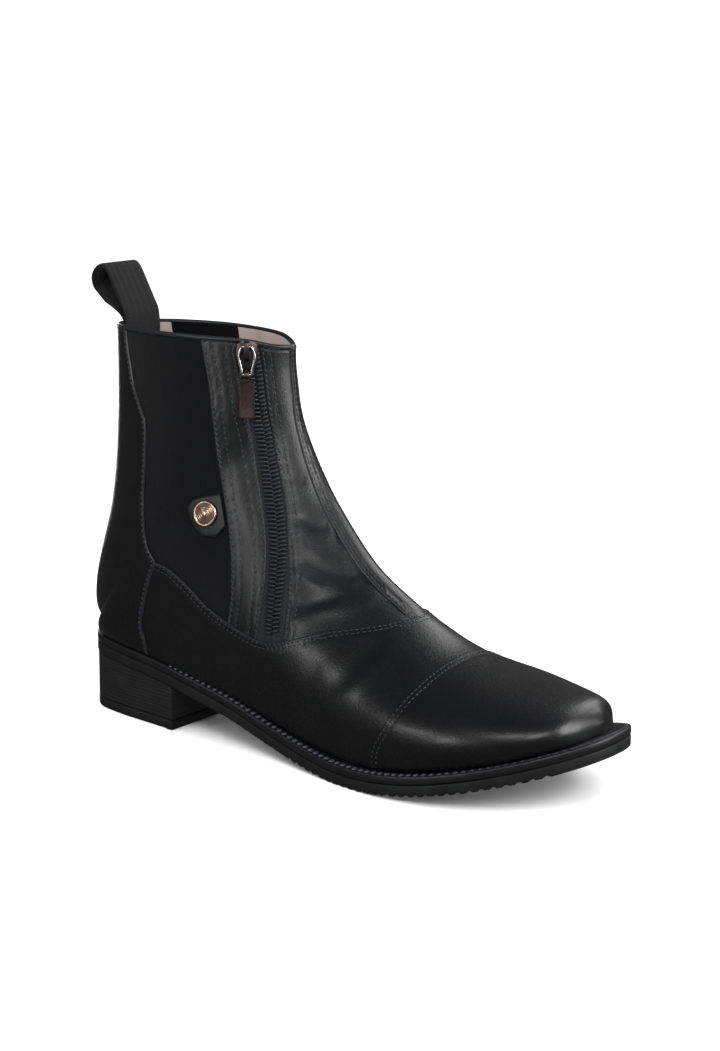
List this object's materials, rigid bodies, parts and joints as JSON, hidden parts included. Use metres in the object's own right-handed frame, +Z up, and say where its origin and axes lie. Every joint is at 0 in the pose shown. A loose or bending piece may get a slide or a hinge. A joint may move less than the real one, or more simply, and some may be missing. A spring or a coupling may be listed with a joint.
{
  "type": "riding boot",
  "caption": "Ankle-high black leather riding boot with a side zip, elastic side gussets, a snap tab, a pull loop and a low stacked heel.",
  "frame": {"origin": "middle of the heel's tread, on the floor", "axes": "+X to the toe, +Y to the inner side of the foot, +Z up"},
  "size_m": [0.283, 0.0981, 0.2109],
  "materials": {
    "upper_leather": "smooth black calf leather, satin",
    "elastic": "matt ribbed elastic",
    "zip_tape": "woven tape",
    "zip_coil": "moulded nylon coil",
    "dark_metal": "gunmetal plate, polished",
    "wire": "nickel plate",
    "snap_metal": "antique rose brass",
    "webbing": "woven webbing",
    "insole": "pale lining leather",
    "welt": "blackened welt",
    "sole_rubber": "matt moulded rubber",
    "heel_stack": "blackened stacked leather board"
  },
  "bodies": {
    "boot": {"upper": "upper_leather", "gore_lateral": "elastic", "gore_medial": "elastic", "zip_tape": "zip_tape", "zip_teeth": "zip_coil", "zip_slider": "dark_metal", "snap_tab": "upper_leather", "snap_button": "snap_metal", "pull_loop": "webbing", "insole": "insole", "welt": "welt", "outsole": "sole_rubber", "heel_stack": "heel_stack", "heel_top_piece": "sole_rubber"},
    "wire": {"zip_link": "wire"},
    "pull": {"zip_tab": "dark_metal"}
  },
  "joints": [
    {"name": "wire_swing", "type": "hinge", "parent": "boot", "child": "wire", "pos_m": [0.06232, -0.01499, 0.17975], "axis": [-0.8116, -0.5842, 0], "range_deg": [0, 150]},
    {"name": "pull_swing", "type": "hinge", "parent": "wire", "child": "pull", "pos_m": [0.06281, -0.01566, 0.16728], "axis": [-0.8116, -0.5842, 0], "range_deg": [0, 100]}
  ]
}
